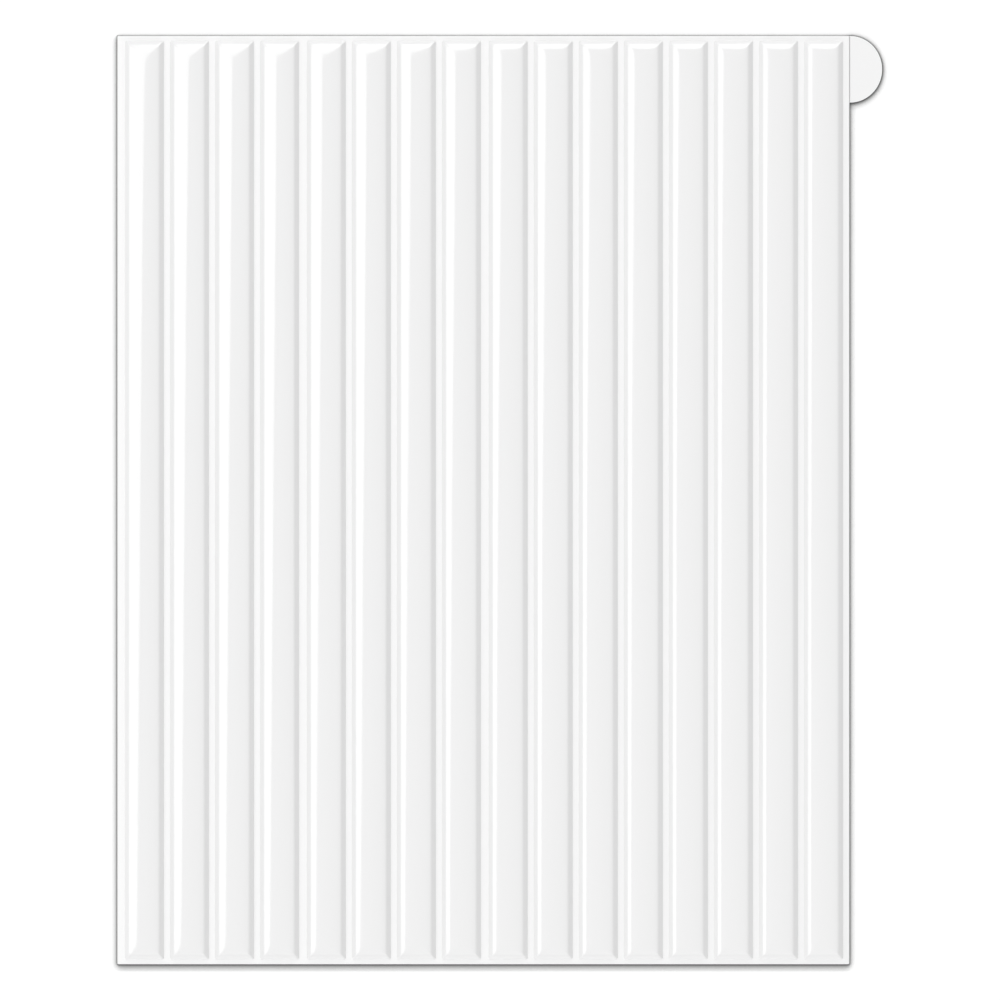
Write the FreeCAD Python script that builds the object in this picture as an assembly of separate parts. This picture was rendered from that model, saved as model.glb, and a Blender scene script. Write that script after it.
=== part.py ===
import FreeCAD, Part
import math
import os

# Self-adhesive wall tile with a fluted face: domed gel strips cast side by side on a white film,
# with the film's adhesive back still on its release liner. Lengths are in millimetres.
# X runs across the strips, Y along them, and Z out of the face. The origin is on the liner's
# underside, in the middle of the tile. The tile lies face up, as it comes out of its pack.

# The gel strips
strips_per_set = (4, 4, 8)  # the strips are printed in sets, from left to right
strip_width = 12.2
strip_length = 287.0
gel_height = 1.4            # from the film to the crest
edge_height = 0.1           # the gel stands this high at its outline, where it wets the film

# The section of the dome, from an edge to the crest. It is the same at a strip's sides and ends
flank_width = 1.6           # from the edge to where the lines of flank and crown would cross
shoulder_height = 1.05      # height of that crossing above the gel's edge
shoulder_blend = 1.3        # width over which the flank rounds into the crown

# The grooves between the strips and the bare margins round them
groove_width = 1.87
set_groove_width = 2.4      # the wider groove between two sets
left_margin = 2.5
right_margin = 2.15
end_margin = 1.65

# The film
film_thickness = 0.6
film_corner_radius = 0.5
film_edge_round = 0.2       # the die rolls the face over at the cut

# The release liner
liner_thickness = 0.2
tab_radius = 10.6

Z_UP = FreeCAD.Vector(0, 0, 1)

strip_count = sum(strips_per_set)
set_joint_count = len(strips_per_set) - 1
face_width = (
    strip_count * strip_width
    + (strip_count - 1 - set_joint_count) * groove_width
    + set_joint_count * set_groove_width
)
tile_width = left_margin + face_width + right_margin
tile_length = strip_length + 2 * end_margin
film_top = liner_thickness + film_thickness
crest_depth = strip_width / 2
dome_height = gel_height - edge_height


def dome_curve():
    """Half of a section through the gel, from the edge to the crest, as a quadratic spline.

    Gives the depths of its knots, and the depth of each of its poles with its height above the gel's
    edge. The first three poles lie on one line, which makes the flank straight. The last leg is level,
    so the crest has no ridge.
    """
    flank_end = flank_width - shoulder_blend / 2
    crown_start = flank_width + shoulder_blend / 2
    knots = [0, flank_end, crown_start, crest_depth]
    poles = [
        (0, 0),
        (flank_end / 2, shoulder_height * flank_end / 2 / flank_width),
        (flank_width, shoulder_height),
        ((crown_start + crest_depth) / 2, dome_height),
    ]
    return knots, poles


def gel_patch(across, across_knots, along, along_knots, along_degree):
    """A patch of the gel's top. Across and along list the place and height of each line of poles.

    The lower of the two heights counts, so sides and ends meet in a soft mitre at the corners.
    """
    poles = [
        [FreeCAD.Vector(x, y, edge_height + min(x_height, y_height)) for y, y_height in along]
        for x, x_height in across
    ]
    round_corners(poles)
    patch = Part.BSplineSurface()
    patch.buildFromPolesMultsKnots(
        poles,
        clamped(across_knots, 2),
        clamped(along_knots, along_degree),
        across_knots,
        along_knots,
        False,
        False,
        2,
        along_degree,
    )
    return patch.toShape()


def clamped(knots, degree):
    """How often each knot of a clamped spline counts."""
    return [degree + 1] + [1] * (len(knots) - 2) + [degree + 1]


def round_corners(poles):
    """Draws each corner of the strip's footprint in until the outline turns there without a kink."""
    for i, next_i in ((0, 1), (-1, -2)):
        for j, next_j in ((0, 1), (-1, -2)):
            if math.isclose(abs(poles[i][j].y), strip_length / 2):
                poles[i][j] = (poles[next_i][j] + poles[i][next_j]) * 0.5


def gel_strip():
    """One strip of gel, centred on the origin and standing on height 0."""
    depths, section = dome_curve()
    left = [(depth - strip_width / 2, height) for depth, height in section]
    across = left + [(-x, height) for x, height in reversed(left)]
    left_knots = [depth - strip_width / 2 for depth in depths]
    across_knots = left_knots + [-knot for knot in reversed(left_knots[:-1])]

    lower = [(depth - strip_length / 2, height) for depth, height in section]
    lower.append((crest_depth - strip_length / 2, dome_height))
    upper = [(-y, height) for y, height in reversed(lower)]
    middle = [lower[-1], upper[0]]
    lower_knots = [depth - strip_length / 2 for depth in depths]
    upper_knots = [-knot for knot in reversed(lower_knots)]
    middle_knots = [lower_knots[-1], upper_knots[0]]

    dome = [
        gel_patch(across, across_knots, lower, lower_knots, 2),
        gel_patch(across, across_knots, middle, middle_knots, 1),
        gel_patch(across, across_knots, upper, upper_knots, 2),
    ]
    outline = [e for patch in dome for e in patch.Edges if e.BoundBox.ZMax < edge_height * 1.001]
    down = FreeCAD.Vector(0, 0, -edge_height)
    rim = [edge.extrude(down) for edge in outline]
    foot_wire = Part.Wire(Part.sortEdges(outline)[0])
    foot_wire.translate(down)
    faces = dome + rim + [Part.Face(foot_wire)]
    shell = Part.makeShell(faces)
    shell.sewShape()
    strip = Part.Solid(shell)
    if strip.Volume < 0:
        strip.reverse()
    return strip


def strip_centres():
    """X of each strip's centre line, from left to right."""
    centres = []
    x = -tile_width / 2 + left_margin + strip_width / 2
    for size in strips_per_set:
        for _ in range(size):
            centres.append(x)
            x += strip_width + groove_width
        x += set_groove_width - groove_width
    return centres


def centred_plate(thickness, floor):
    """A plate of the tile's width and length, with its underside at height floor."""
    corner = FreeCAD.Vector(-tile_width / 2, -tile_length / 2, floor)
    return Part.makeBox(tile_width, tile_length, thickness, corner)


def upright_edges(solid):
    """The edges that run along Z."""
    return [e for e in solid.Edges if e.tangentAt(e.FirstParameter).isParallel(Z_UP, 1e-6)]


def backing_film():
    """The white film, with its adhesive. Its corners are rounded, and its face rolls over at the cut."""
    sheet = centred_plate(film_thickness, liner_thickness)
    sheet = sheet.makeFillet(film_corner_radius, upright_edges(sheet))
    face = max(sheet.Faces, key=lambda f: f.CenterOfMass.z)
    return sheet.makeFillet(min(film_edge_round, film_thickness / 2), face.Edges)


def release_liner():
    """The liner under the whole tile. Its half-round pull tab is at the right, level with the top end."""
    sheet = centred_plate(liner_thickness, 0)
    away_from_tab = [e for e in upright_edges(sheet) if min(e.CenterOfMass.x, e.CenterOfMass.y) < 0]
    sheet = sheet.makeFillet(film_corner_radius, away_from_tab)
    tab_centre = FreeCAD.Vector(tile_width / 2, tile_length / 2 - tab_radius, 0)
    tab = Part.makeCylinder(tab_radius, liner_thickness, tab_centre, Z_UP)
    return sheet.fuse(tab).removeSplitter()


os.makedirs("parts", exist_ok=True)
release_liner().exportStep("parts/release_liner.step")
backing_film().exportStep("parts/backing_film.step")
one_strip = gel_strip()
for number, centre in enumerate(strip_centres(), start=1):
    placed = one_strip.copy()
    placed.translate(FreeCAD.Vector(centre, 0, film_top))
    placed.exportStep(f"parts/gel_strip_{number:02d}.step")
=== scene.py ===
import math

import bmesh
import bpy
from bpy.props import FloatProperty, FloatVectorProperty, PointerProperty
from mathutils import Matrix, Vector


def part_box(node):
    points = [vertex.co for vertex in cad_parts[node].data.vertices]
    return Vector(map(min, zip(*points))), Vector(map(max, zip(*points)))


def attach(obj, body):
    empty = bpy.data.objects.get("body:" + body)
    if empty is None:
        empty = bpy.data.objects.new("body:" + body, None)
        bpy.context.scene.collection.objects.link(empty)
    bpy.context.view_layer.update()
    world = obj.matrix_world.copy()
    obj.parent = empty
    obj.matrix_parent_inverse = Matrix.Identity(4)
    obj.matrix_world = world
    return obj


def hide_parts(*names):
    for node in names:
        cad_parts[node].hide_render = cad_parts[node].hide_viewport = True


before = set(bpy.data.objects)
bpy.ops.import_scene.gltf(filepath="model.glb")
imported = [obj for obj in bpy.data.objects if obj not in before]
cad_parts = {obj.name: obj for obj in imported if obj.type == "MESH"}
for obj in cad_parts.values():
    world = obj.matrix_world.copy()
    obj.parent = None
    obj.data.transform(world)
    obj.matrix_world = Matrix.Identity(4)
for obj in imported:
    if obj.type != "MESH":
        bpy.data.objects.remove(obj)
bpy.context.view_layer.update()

bl_info = {
    "name": "Gel wall tile",
    "version": (1, 0, 0),
    "blender": (4, 5, 0),
    "location": "View3D > Sidebar > Wall tile",
    "description": "Models a peel-and-stick wall tile of domed gel strips on its release liner",
    "category": "Object",
}

MM = 0.001
NEAR = 0.01 * MM  # points this close to a place count as lying on it
STRIP_NODES = sorted(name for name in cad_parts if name.startswith("gel_strip"))


def linear(hex_color):
    """A colour written as sRGB hex, as the linear red, green and blue that shaders take."""
    channels = [int(hex_color[i:i + 2], 16) / 255 for i in (0, 2, 4)]
    return tuple(c / 12.92 if c <= 0.04045 else ((c + 0.055) / 1.055) ** 2.4 for c in channels)


# Sizes, colours and light levels that a user would change


def length(name, description, default, low, high):
    """A size that is set in millimetres and kept in metres."""
    return FloatProperty(
        name=name,
        description=description,
        default=default * MM,
        min=low * MM,
        max=high * MM,
        precision=5,
        unit="LENGTH",
    )


def tint(name, description, default):
    """A colour that is given as sRGB hex and kept linear."""
    return FloatVectorProperty(
        name=name,
        description=description,
        default=linear(default),
        min=0,
        max=1,
        subtype="COLOR",
    )


def radiance(name, description, default):
    """How bright a light is, where 1 is as bright as white paper in full light."""
    return FloatProperty(name=name, description=description, default=default, min=0, max=20)


class GelSettings(bpy.types.PropertyGroup):
    edge_height: length(
        "Upright edge", "How high the gel stands at its outline", 0.1, 0.01, 0.5
    )
    flank_width: length(
        "Flank width", "From the edge to where flank and crown would cross", 1.6, 0.5, 4
    )
    shoulder_height: length(
        "Shoulder height", "Height of that crossing above the upright edge", 1.05, 0.1, 1.25
    )
    shoulder_blend: length(
        "Shoulder blend", "Width over which the flank rounds into the crown", 1.3, 0.2, 3
    )
    corner_inset: length(
        "Corner inset", "How far the corners are drawn in along each side", 0.24, 0, 1
    )
    color: tint(
        "Gel over white print", "Colour of the print as it shows through the gel", "f1f1f1"
    )
    # The flanks' colour is painted shade: the print is painted greyer where the gel slopes
    flank_shade_color: tint(
        "Gel's flanks", "Painted shade on the gel's sloping edge", "e7e7e7"
    )


class FilmSettings(bpy.types.PropertyGroup):
    corner_radius: length(
        "Corner radius", "Radius of the tile's corners, seen from above", 0.35, 0.31, 5
    )
    inset: length(
        "Inset", "How far the film's cut stays inside the liner's cut", 0.12, 0, 0.3
    )
    edge_round: length(
        "Rolled edge", "Radius that the die leaves where it rolls the film over", 0.25, 0.02, 0.5
    )
    color: tint("Vinyl", "Colour of the film's face", "f4f4f4")
    # The cut edge's colour is painted shade, a grey outline along the rolled edge
    edge_shade_color: tint("Cut edge", "Painted shade on the film's rolled edge, a grey outline", "dcdcdc")


class LinerSettings(bpy.types.PropertyGroup):
    tab_lift: length("Tab lift", "How high the pull tab stands off the table", 0.54, 0, 1.5)
    tab_bend: length("Tab bend", "Length of the double bend at the tab's root", 0.2, 0.1, 8)
    tab_reach: length(
        "Tab reach", "How far the pull tab stands out past the tile", 10.25, 5, 10.6
    )
    color: tint("Paper", "Colour of the coated paper", "f0f0f0")
    # The rim is painted dark as shade, an outline round the tile and the tab
    rim: length("Rim", "Width of the rim that is painted dark", 0.17, 0.02, 0.19)
    rim_color: tint("Rim colour", "Colour of the rim, painted dark as shade", "3c3c3c")


class StageSettings(bpy.types.PropertyGroup):
    camera_height: FloatProperty(
        name="Camera height",
        description="Height of the camera above the film's face",
        default=8.0,
        min=0.5,
        max=20,
        unit="LENGTH",
    )
    frame_width: length(
        "Frame width", "Width that the picture covers at the film's face", 312.34, 100, 2000
    )
    frame_offset: length(
        "Frame offset", "From the tile's middle to the middle of the picture", 5.185, -100, 100
    )
    sky: radiance("Room light", "Radiance of the white room round the tile", 0.828)
    side_light: radiance(
        "Side panel", "Radiance of the panel over the left side, which only gloss mirrors", 3.8
    )
    far_light: radiance("Far strip light", "Radiance of the low light past the far end", 3.92)
    near_light: radiance("Near strip light", "Radiance of the low light past the near end", 3.64)
    end_light: radiance("End card", "Radiance of the card past the tile's far end", 3.8)


# Modelling


def deselect():
    """Takes every object out of the selection."""
    for other in list(bpy.context.selected_objects):
        other.select_set(False)


def start_piece(name, add, **options):
    """Adds a primitive at the origin, with its mesh in edit mode and all selected."""
    deselect()
    add(enter_editmode=True, **options)
    piece = bpy.context.active_object
    piece.name = name
    piece.data.name = name
    return piece


def place(low, high):
    """Fits a primitive of unit size, in edit mode and all selected, to the box from low to high."""
    size = high - low
    bpy.ops.transform.resize(value=tuple(size), center_override=(0, 0, 0))
    bpy.ops.transform.translate(value=tuple((low + high) / 2))


def pick(piece, vertex=None, edge=None):
    """Selects the vertices or the edges that pass the test, and nothing else, in edit mode."""
    bpy.ops.mesh.select_mode(type="VERT" if vertex else "EDGE")
    bpy.ops.mesh.select_all(action="DESELECT")
    mesh = bmesh.from_edit_mesh(piece.data)
    for part in mesh.verts if vertex else mesh.edges:
        if (vertex or edge)(part):
            part.select_set(True)
    mesh.select_flush_mode()
    bmesh.update_edit_mesh(piece.data)


def cut(piece, axis, at):
    """Cuts the whole mesh where it crosses a plane at right angles to the axis."""
    bpy.ops.mesh.select_all(action="SELECT")
    normal = [0, 0, 0]
    normal[axis] = 1
    point = [0, 0, 0]
    point[axis] = at
    bpy.ops.mesh.bisect(plane_co=point, plane_no=normal)


def finish_piece(piece, material=None, angle=40):
    """Leaves edit mode and shades smooth up to an angle in degrees.

    A piece that is all of one material gets it here.
    """
    if bpy.context.mode == "EDIT_MESH":
        bpy.ops.object.mode_set(mode="OBJECT")
    deselect()
    piece.select_set(True)
    bpy.context.view_layer.objects.active = piece
    bpy.ops.object.shade_smooth_by_angle(angle=math.radians(angle))
    if material:
        piece.data.materials.clear()
        piece.data.materials.append(material)


def apply_modifier(piece, kind, **settings):
    """Adds a modifier with its settings and applies it, in object mode."""
    if bpy.context.mode == "EDIT_MESH":
        bpy.ops.object.mode_set(mode="OBJECT")
    modifier = piece.modifiers.new(kind.title(), kind)
    for name, value in settings.items():
        setattr(modifier, name, value)
    deselect()
    piece.select_set(True)
    bpy.context.view_layer.objects.active = piece
    bpy.ops.object.modifier_apply(modifier=modifier.name)


def lies_along(edge, axis):
    """True if a mesh edge runs along the axis."""
    run = edge.verts[1].co - edge.verts[0].co
    return abs(run[axis]) > 0.999 * run.length


# Materials


def add_node(tree, kind, settings=(), links=()):
    """Adds a node, sets its options and input values, and links its inputs to outputs."""
    node = tree.nodes.new(kind)
    for name, value in dict(settings).items():
        if isinstance(name, int) or name in node.inputs:
            node.inputs[name].default_value = value
        else:
            setattr(node, name, value)
    for name, source in dict(links).items():
        tree.links.new(source, node.inputs[name])
    return node


def new_material(name):
    """An empty material, and its node tree."""
    material = bpy.data.materials.new(name)
    material.use_nodes = True
    material.node_tree.nodes.clear()
    return material, material.node_tree


def finish_surface(tree, shader):
    """Gives the material its surface."""
    add_node(tree, "ShaderNodeOutputMaterial", links={"Surface": shader.outputs[0]})


def slope_shade_mix(tree, level, painted_shade_color, flat_z, steep_z):
    """Mixes two colours by how far the surface slopes, given as the Z of its normal; the steep
    colour is painted shade.
    """
    surface = add_node(tree, "ShaderNodeNewGeometry")
    axes = add_node(tree, "ShaderNodeSeparateXYZ", links={0: surface.outputs["Normal"]})
    slope = add_node(
        tree,
        "ShaderNodeMapRange",
        {"interpolation_type": "SMOOTHSTEP", "From Min": flat_z, "From Max": steep_z},
        {"Value": axes.outputs["Z"]},
    )
    return add_node(
        tree,
        "ShaderNodeMix",
        {"data_type": "RGBA", 6: (*level, 1), 7: (*painted_shade_color, 1)},
        {0: slope.outputs[0]},
    )


def cast_gel(color, flank_shade_color):
    """Polyurethane doming gel, poured clear over white print and left to level.

    Its glassy skin gives hard-edged reflections of the lamps, which waver a little along each strip
    because the pour levelled about a hundredth of a millimetre uneven. On the sloping flanks the
    print is painted a little greyer: painted shade, standing in for the light that the slope turns
    aside.
    """
    material, tree = new_material("Cast polyurethane gel")
    # Painted shade: the colour turns greyer as the surface slopes
    painted_shade_tone = slope_shade_mix(tree, color, flank_shade_color, flat_z=0.985, steep_z=0.86)
    position = add_node(tree, "ShaderNodeTexCoord")
    # The pour's unevenness is about 9 mm long across the strip and four times as long along it
    swell_length = 9 * MM
    swell_height = 0.012 * MM
    stretch = add_node(
        tree,
        "ShaderNodeMapping",
        {"Scale": (1, 0.25, 1)},
        {"Vector": position.outputs["Object"]},
    )
    swell = add_node(
        tree,
        "ShaderNodeTexNoise",
        {"Scale": 1 / swell_length, "Detail": 1.0, "Roughness": 0.4},
        {"Vector": stretch.outputs[0]},
    )
    bump = add_node(
        tree,
        "ShaderNodeBump",
        {"Strength": 1.0, "Distance": swell_height},
        {"Height": swell.outputs[0]},
    )
    shader = add_node(
        tree,
        "ShaderNodeBsdfPrincipled",
        {"Roughness": 0.05, "IOR": 1.5},
        {"Base Color": painted_shade_tone.outputs[2], "Normal": bump.outputs[0]},
    )
    finish_surface(tree, shader)
    return material


def vinyl_film(color, edge_shade_color):
    """Calendered vinyl film, printed white and die-cut.

    Its face is satin, so it shows only a soft sheen. Where it rolls over to the cut it is painted
    grey: painted shade that draws a grey outline round the film.
    """
    material, tree = new_material("Satin vinyl film")
    # Painted shade: the rolled edge turns grey as it slopes away
    painted_shade_tone = slope_shade_mix(tree, color, edge_shade_color, flat_z=0.995, steep_z=0.9)
    shader = add_node(
        tree,
        "ShaderNodeBsdfPrincipled",
        {"Roughness": 0.6, "IOR": 1.5},
        {"Base Color": painted_shade_tone.outputs[2]},
    )
    finish_surface(tree, shader)
    return material


def glassine_paper(color):
    """Supercalendered paper with a silicone coat, which gives it a faint even gloss."""
    material, tree = new_material("Silicone-coated glassine paper")
    shader = add_node(
        tree,
        "ShaderNodeBsdfPrincipled",
        {"Base Color": (*color, 1), "Roughness": 0.38, "IOR": 1.45},
    )
    finish_surface(tree, shader)
    return material


def rim_outline_shade(color):
    """The same paper on its rim, painted dark.

    It is dull and dark: painted shade that draws a fine line round the tile and the tab.
    """
    material, tree = new_material("Glassine rim painted dark as shade")
    shader = add_node(
        tree,
        "ShaderNodeBsdfPrincipled",
        {"Base Color": (*color, 1), "Roughness": 0.8, "IOR": 1.45},
    )
    finish_surface(tree, shader)
    return material


# The pieces


class WALLTILE_OT_gel_strips(bpy.types.Operator):
    """Models one domed gel strip and copies it to the place of every strip"""

    bl_idname = "walltile.gel_strips"
    bl_label = "Gel strips"

    def dome(self, depth, settings, crest_depth, crest):
        """Height above the upright edge at a depth in from it.

        The section has a straight flank, a blend and a long crown.
        """
        flank = settings.flank_width
        shoulder = settings.shoulder_height
        blend = settings.shoulder_blend
        flank_slope = shoulder / flank
        crown_start = flank + blend / 2
        crown_slope = (crest - shoulder) / ((crown_start + crest_depth) / 2 - flank)
        if depth < crown_start:
            bent = max(0, depth - (flank - blend / 2))
            return flank_slope * depth - (flank_slope - crown_slope) * bent ** 2 / (2 * blend)
        left = max(0, crest_depth - depth)
        return crest - crown_slope * left ** 2 / (2 * (crest_depth - crown_start))

    def cage_depths(self, settings, crest_depth):
        """Depths from the edge where the cage has a line of points."""
        flank_end = settings.flank_width - settings.shoulder_blend / 2
        crown_start = settings.flank_width + settings.shoulder_blend / 2
        depths = [flank_end * share for share in (0.35, 0.75, 1)]
        depths += [flank_end + settings.shoulder_blend * share for share in (0.25, 0.5, 0.75, 1)]
        crown_width = crest_depth - crown_start
        depths += [crown_start + crown_width * share for share in (0.12, 0.3, 0.6)]
        return depths

    def model(self, name, settings):
        """Models a strip in the box of its node, and leaves it in edit mode."""
        low, high = (Vector(corner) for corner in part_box(name))
        centre = (low + high) / 2
        size = high - low
        foot = low.z + settings.edge_height
        crest = high.z - foot
        crest_depth = size.x / 2
        piece_name = name.replace("gel_strip", "gel")
        strip = start_piece(piece_name, bpy.ops.mesh.primitive_plane_add, size=1)
        place(Vector((low.x, low.y, foot)), Vector((high.x, high.y, foot)))
        columns = [centre.x]
        rows = [low.y + crest_depth, high.y - crest_depth]
        for depth in self.cage_depths(settings, crest_depth):
            columns += [low.x + depth, high.x - depth]
            rows += [low.y + depth, high.y - depth]
        for x in columns:
            cut(strip, 0, x)
        for y in rows:
            cut(strip, 1, y)
        for x in columns:
            pick(strip, vertex=lambda v: abs(v.co.x - x) < NEAR)
            depth = crest_depth - abs(x - centre.x)
            rise = self.dome(depth, settings, crest_depth, crest)
            bpy.ops.transform.translate(value=(0, 0, rise))
        # Toward the ends, what stands above the end's own dome is pressed down to it, so that the
        # domes of side and end meet in a soft mitre at each corner
        for y in rows + [low.y, high.y]:
            depth = size.y / 2 - abs(y - centre.y)
            ceiling = foot + self.dome(depth, settings, crest_depth, crest)
            pick(strip, vertex=lambda v: abs(v.co.y - y) < NEAR and v.co.z > ceiling)
            if any(v.select for v in bmesh.from_edit_mesh(strip.data).verts):
                bpy.ops.transform.resize(value=(1, 1, 0), center_override=(centre.x, y, ceiling))
        # The four corners are drawn in, and the subdivision then rounds the outline there
        pick(strip, vertex=lambda v: (v.co - centre).xy.length > size.xy.length / 2 - NEAR)
        inset = settings.corner_inset
        bpy.ops.transform.resize(
            value=(1 - 2 * inset / size.x, 1 - 2 * inset / size.y, 1),
            center_override=tuple(centre),
        )
        apply_modifier(strip, "SUBSURF", levels=2, render_levels=2, boundary_smooth="ALL")
        # The subdivision leaves the crest a little low, so the dome is stretched back to its height
        top = max(v.co.z for v in strip.data.vertices)
        bpy.ops.object.mode_set(mode="EDIT")
        bpy.ops.mesh.select_all(action="SELECT")
        bpy.ops.transform.resize(
            value=(1, 1, crest / (top - foot)),
            center_override=(centre.x, centre.y, foot),
        )
        pick(strip, edge=lambda e: e.is_boundary)
        bpy.ops.mesh.extrude_region_move(TRANSFORM_OT_translate={"value": (0, 0, low.z - foot)})
        bpy.ops.mesh.edge_face_add()
        bpy.ops.mesh.select_all(action="SELECT")
        bpy.ops.mesh.normals_make_consistent(inside=False)
        return strip

    def execute(self, context):
        settings = context.scene.wall_tile_gel
        material = cast_gel(settings.color, settings.flank_shade_color)
        first = self.model(STRIP_NODES[0], settings)
        finish_piece(first, material)
        start = Vector(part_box(STRIP_NODES[0])[0])
        for name in STRIP_NODES:
            strip = first
            if name != STRIP_NODES[0]:
                deselect()
                first.select_set(True)
                context.view_layer.objects.active = first
                bpy.ops.object.duplicate(linked=False)
                strip = context.active_object
                strip.name = strip.data.name = name.replace("gel_strip", "gel")
                bpy.ops.object.mode_set(mode="EDIT")
                bpy.ops.mesh.select_all(action="SELECT")
                bpy.ops.transform.translate(value=tuple(Vector(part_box(name)[0]) - start))
                bpy.ops.object.mode_set(mode="OBJECT")
            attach(strip, "root")
            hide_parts(name)
        return {"FINISHED"}


class WALLTILE_OT_backing_film(bpy.types.Operator):
    """Models the die-cut film that the gel is cast on"""

    bl_idname = "walltile.backing_film"
    bl_label = "Backing film"

    def execute(self, context):
        settings = context.scene.wall_tile_film
        low, high = (Vector(corner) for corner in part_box("backing_film"))
        inset = Vector((settings.inset, settings.inset, 0))
        low += inset
        high -= inset
        film = start_piece("film", bpy.ops.mesh.primitive_cube_add, size=1)
        place(low, high)
        pick(film, edge=lambda e: lies_along(e, 2))
        bpy.ops.mesh.bevel(offset=settings.corner_radius, segments=6, affect="EDGES")
        pick(film, edge=lambda e: all(abs(v.co.z - high.z) < NEAR for v in e.verts))
        bpy.ops.mesh.bevel(offset=settings.edge_round, segments=4, affect="EDGES")
        # A small angle, so that the rolled edge doesn't tilt the shading of the flat face
        finish_piece(film, vinyl_film(settings.color, settings.edge_shade_color), angle=20)
        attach(film, "root")
        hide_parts("backing_film")
        return {"FINISHED"}


class WALLTILE_OT_release_liner(bpy.types.Operator):
    """Models the release liner, with its pull tab lifted a little off the table"""

    bl_idname = "walltile.release_liner"
    bl_label = "Release liner"

    tab_bends = 6  # straight runs that the double bend is made of

    def on_rim(self, edge, height):
        """Whether the edge lies above the height and has an upright face on one side."""
        above = all(vertex.co.z > height for vertex in edge.verts)
        return above and any(abs(face.normal.z) < 0.5 for face in edge.link_faces)

    def execute(self, context):
        settings = context.scene.wall_tile_liner
        low, high = (Vector(corner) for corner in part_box("release_liner"))
        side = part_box("backing_film")[1][0]
        radius = high.x - side
        tab = start_piece(
            "liner_tab",
            bpy.ops.mesh.primitive_cylinder_add,
            radius=1,
            depth=1,
            vertices=128,
        )
        tab_size = (settings.tab_reach, radius, high.z - low.z)
        bpy.ops.transform.resize(value=tab_size, center_override=(0, 0, 0))
        bpy.ops.transform.translate(value=(side, high.y - radius, (low.z + high.z) / 2))
        bpy.ops.object.mode_set(mode="OBJECT")
        liner = start_piece("liner", bpy.ops.mesh.primitive_cube_add, size=1)
        place(low, Vector((side, high.y, high.z)))
        # The corner at the tab stays sharp
        pick(liner, edge=lambda e: lies_along(e, 2) and min(e.verts[0].co.xy) < 0)
        bpy.ops.mesh.bevel(
            offset=context.scene.wall_tile_film.corner_radius,
            segments=6,
            affect="EDGES",
        )
        apply_modifier(liner, "BOOLEAN", operation="UNION", object=tab, solver="EXACT")
        bpy.data.objects.remove(tab)
        liner.data.materials.clear()
        liner.data.materials.append(glassine_paper(settings.color))
        liner.data.materials.append(rim_outline_shade(settings.rim_color))
        bpy.ops.object.mode_set(mode="EDIT")
        # The rim is bevelled off and given the dark paper: painted shade that outlines the tile and
        # the tab
        pick(liner, edge=lambda e: self.on_rim(e, high.z - NEAR))
        bpy.ops.mesh.bevel(offset=settings.rim, segments=2, affect="EDGES", material=1)
        # The tab bends up at the film's cut and then level again
        root = side - context.scene.wall_tile_film.inset
        bends = [root + settings.tab_bend * i / self.tab_bends for i in range(self.tab_bends + 1)]
        for x in bends:
            cut(liner, 0, x)
        lifted = 0
        for i, x in enumerate(bends):
            pick(liner, vertex=lambda v: v.co.x > x - NEAR)
            height = settings.tab_lift * (1 - math.cos(math.pi * i / self.tab_bends)) / 2
            bpy.ops.transform.translate(value=(0, 0, height - lifted))
            lifted = height
        # A small angle, so that the rim doesn't tilt the shading of the flat paper
        finish_piece(liner, angle=15)
        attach(liner, "root")
        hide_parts("release_liner")
        return {"FINISHED"}


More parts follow.
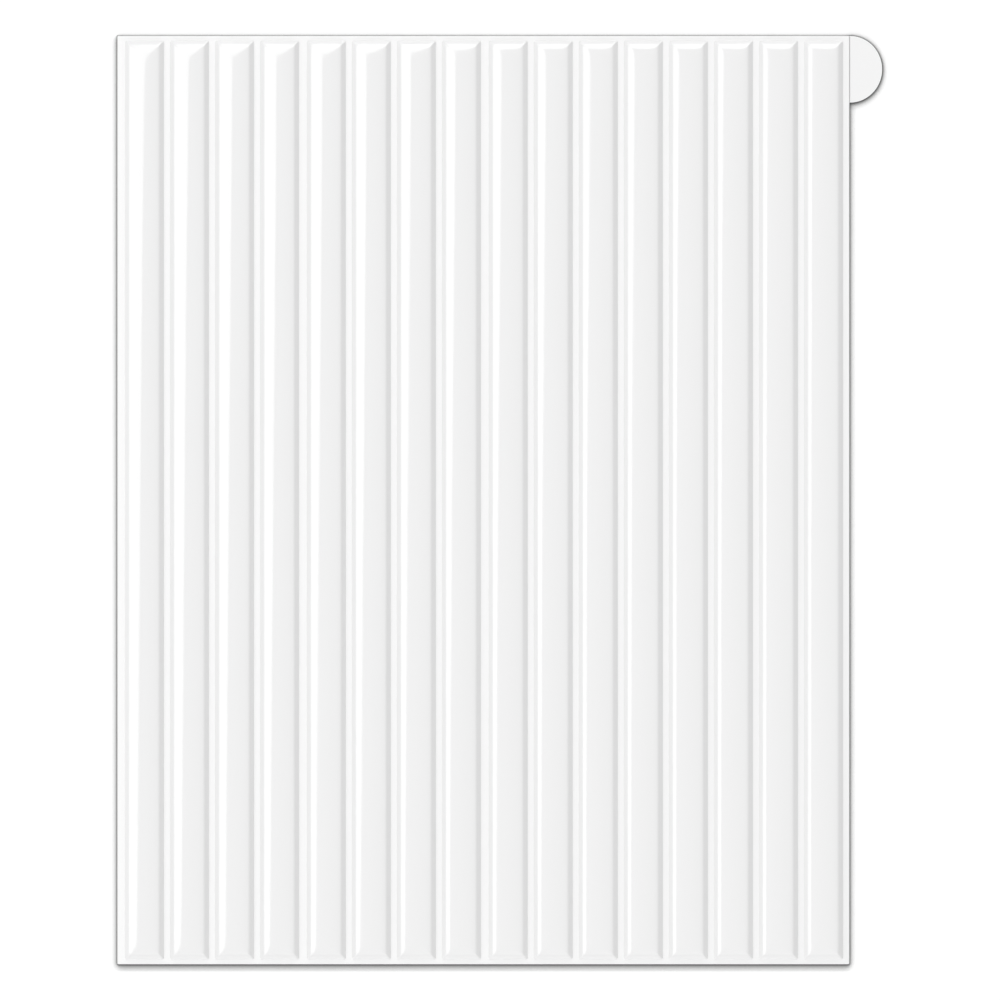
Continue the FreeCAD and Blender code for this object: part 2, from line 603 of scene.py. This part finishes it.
class WALLTILE_OT_stage(bpy.types.Operator):
    """Adds the white room and table, the lights and the camera"""

    bl_idname = "walltile.stage"
    bl_label = "Stage"

    def shown_white(self, tree, level):
        """A strength that is 1 where the eye sees the room, also in gloss and through glass.

        Elsewhere it is the level.
        """
        ray = add_node(tree, "ShaderNodeLightPath")
        seen = ray.outputs["Is Camera Ray"]
        for kind in ("Is Glossy Ray", "Is Transmission Ray"):
            either = add_node(
                tree,
                "ShaderNodeMath",
                {"operation": "MAXIMUM"},
                {0: seen, 1: ray.outputs[kind]},
            )
            seen = either.outputs[0]
        strength = add_node(
            tree,
            "ShaderNodeMapRange",
            {"To Max": 1.0},
            {"Value": seen, "To Min": level},
        )
        return strength.outputs[0]

    # How the room's light leans: it is stronger from the left and the far end, and stronger from
    # both ends than from both sides
    room_lean = (-0.35, 0.02, 0)
    room_spread = (-0.55, 0.72, 0)

    def room(self, settings):
        """Lights the tile from all round. The eye sees the room plain white."""
        world = bpy.data.worlds.new("White room")
        bpy.context.scene.world = world
        world.use_nodes = True
        tree = world.node_tree
        tree.nodes.clear()
        toward = add_node(tree, "ShaderNodeTexCoord")
        lean = add_node(
            tree,
            "ShaderNodeVectorMath",
            {"operation": "DOT_PRODUCT", 1: self.room_lean},
            {0: toward.outputs["Generated"]},
        )
        either_way = add_node(
            tree,
            "ShaderNodeVectorMath",
            {"operation": "ABSOLUTE"},
            {0: toward.outputs["Generated"]},
        )
        spread = add_node(
            tree,
            "ShaderNodeVectorMath",
            {"operation": "DOT_PRODUCT", 1: self.room_spread},
            {0: either_way.outputs["Vector"]},
        )
        both = add_node(
            tree,
            "ShaderNodeMath",
            {"operation": "ADD"},
            {0: lean.outputs["Value"], 1: spread.outputs["Value"]},
        )
        level = add_node(
            tree,
            "ShaderNodeMath",
            {"operation": "MULTIPLY_ADD", 1: settings.sky, 2: settings.sky},
            {0: both.outputs["Value"]},
        )
        strength = self.shown_white(tree, level.outputs[0])
        light = add_node(
            tree,
            "ShaderNodeBackground",
            {"Color": (1, 1, 1, 1)},
            {"Strength": strength},
        )
        add_node(tree, "ShaderNodeOutputWorld", links={"Surface": light.outputs[0]})

    # Close to the tile the table's colour is darkened, most at the near end: a painted contact
    # shadow, as under a soft light from the far end
    shade_reach = 2.4 * MM
    shade_lean = 0.6
    shade_depth = 3.3
    # The camera sees this much more than the table reflects, which keeps the open table pure white
    table_glow = 0.08

    def floor(self):
        """The table that the tile lies on."""
        deselect()
        bpy.ops.mesh.primitive_plane_add(size=12, location=(0, 0, 0))
        floor = bpy.context.active_object
        floor.name = "table"
        material, tree = new_material("White table")
        ray = add_node(tree, "ShaderNodeLightPath")
        toward_far_end = add_node(
            tree,
            "ShaderNodeCombineXYZ",
            {"Y": self.shade_lean, "Z": 1.0},
        )
        contact = add_node(
            tree,
            "ShaderNodeAmbientOcclusion",
            {"samples": 16, "Distance": self.shade_reach},
            {"Normal": toward_far_end.outputs[0]},
        )
        # Painted shadow: the table's colour is darkened where the tile is near
        shade = add_node(
            tree,
            "ShaderNodeMath",
            {"operation": "POWER", 1: self.shade_depth},
            {0: contact.outputs["AO"]},
        )
        shader = add_node(
            tree,
            "ShaderNodeBsdfPrincipled",
            {
                "Roughness": 1.0,
                "Specular IOR Level": 0.0,
                "Emission Color": (self.table_glow, self.table_glow, self.table_glow, 1),
            },
            {"Base Color": shade.outputs[0], "Emission Strength": ray.outputs["Is Camera Ray"]},
        )
        finish_surface(tree, shader)
        floor.data.materials.append(material)

    def softbox(self, name, middle, size, turn, brightness, only_in_gloss=False):
        """A rectangle of even light. Turn is how it is turned from facing down, in degrees."""
        deselect()
        rotation = [math.radians(angle) for angle in turn]
        bpy.ops.object.light_add(type="AREA", location=middle, rotation=rotation)
        lamp = bpy.context.active_object
        lamp.name = name
        lamp.data.shape = "RECTANGLE"
        lamp.data.size, lamp.data.size_y = size
        lamp.data.energy = brightness * math.pi * size[0] * size[1]
        lamp.visible_camera = False
        lamp.visible_diffuse = not only_in_gloss

    # The panel over the tile's left side that the gel's long highlights mirror. The corners are
    # X and Y, anticlockwise
    panel_height = 1.4
    panel_corners = ((-2.3, -0.386), (-0.376, -0.386), (-0.21, 0), (0.02, 0.42), (-1.45, 0.62))

    def gloss_panel(self, settings):
        """A panel that only gloss mirrors, so it adds no light to the tile and the table."""
        deselect()
        bpy.ops.mesh.primitive_circle_add(
            vertices=len(self.panel_corners),
            fill_type="NGON",
            location=(0, 0, self.panel_height),
        )
        panel = bpy.context.active_object
        panel.name = "side panel"
        for corner, vertex in zip(self.panel_corners, panel.data.vertices):
            vertex.co.xy = corner
        material, tree = new_material("Side panel")
        light = add_node(
            tree,
            "ShaderNodeEmission",
            {"Color": (1, 1, 1, 1), "Strength": settings.side_light},
        )
        finish_surface(tree, light)
        panel.data.materials.append(material)
        panel.visible_camera = False
        panel.visible_diffuse = False
        panel.visible_shadow = False
        panel.visible_transmission = False

    def camera(self, settings):
        """A camera straight above, high enough that the strips' sides don't show."""
        deselect()
        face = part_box("backing_film")[1][2]
        bpy.ops.object.camera_add(
            location=(settings.frame_offset, 0, face + settings.camera_height),
            rotation=(0, 0, 0),
        )
        camera = bpy.context.active_object
        camera.data.lens = camera.data.sensor_width * settings.camera_height / settings.frame_width
        bpy.context.scene.camera = camera

    def execute(self, context):
        settings = context.scene.wall_tile_stage
        context.scene.view_settings.view_transform = "Standard"
        self.room(settings)
        self.floor()
        self.gloss_panel(settings)
        # Low strips of light past both ends brighten the flanks at the ends of the gel strips
        self.softbox(
            "far strip light",
            middle=(-0.5, 2.5, 0.67),
            size=(3.0, 0.5),
            turn=(-75, 0, 0),
            brightness=settings.far_light,
        )
        self.softbox(
            "near strip light",
            middle=(-0.5, -2.5, 0.67),
            size=(3.0, 0.5),
            turn=(75, 0, 0),
            brightness=settings.near_light,
        )
        # The gel's far ends mirror a card past the far end, which adds next to no light
        self.softbox(
            "end card",
            middle=(0.7, 1.88, 2.17),
            size=(1.7, 2.75),
            turn=(-34, 0, 0),
            brightness=settings.end_light,
            only_in_gloss=True,
        )
        self.camera(settings)
        return {"FINISHED"}


OPERATORS = (
    WALLTILE_OT_release_liner,
    WALLTILE_OT_backing_film,
    WALLTILE_OT_gel_strips,
    WALLTILE_OT_stage,
)
SETTINGS = {
    "wall_tile_gel": GelSettings,
    "wall_tile_film": FilmSettings,
    "wall_tile_liner": LinerSettings,
    "wall_tile_stage": StageSettings,
}


class WALLTILE_PT_panel(bpy.types.Panel):
    """Lists the tile's pieces, and the sizes and colours that they are made with"""

    bl_idname = "WALLTILE_PT_panel"
    bl_label = "Wall tile"
    bl_space_type = "VIEW_3D"
    bl_region_type = "UI"
    bl_category = "Wall tile"

    def draw(self, context):
        for operator in OPERATORS:
            self.layout.operator(operator.bl_idname)
        for group, kind in SETTINGS.items():
            box = self.layout.box()
            for name in kind.__annotations__:
                box.prop(getattr(context.scene, group), name)


def register():
    for kind in (*SETTINGS.values(), *OPERATORS, WALLTILE_PT_panel):
        bpy.utils.register_class(kind)
    for group, kind in SETTINGS.items():
        setattr(bpy.types.Scene, group, PointerProperty(type=kind))


def unregister():
    for group in SETTINGS:
        delattr(bpy.types.Scene, group)
    for kind in (WALLTILE_PT_panel, *reversed(OPERATORS), *SETTINGS.values()):
        bpy.utils.unregister_class(kind)


def main():
    """Builds the pieces and the stage in order."""
    register()
    bpy.ops.walltile.release_liner()
    bpy.ops.walltile.backing_film()
    bpy.ops.walltile.gel_strips()
    bpy.ops.walltile.stage()


if __name__ == "__main__":
    main()
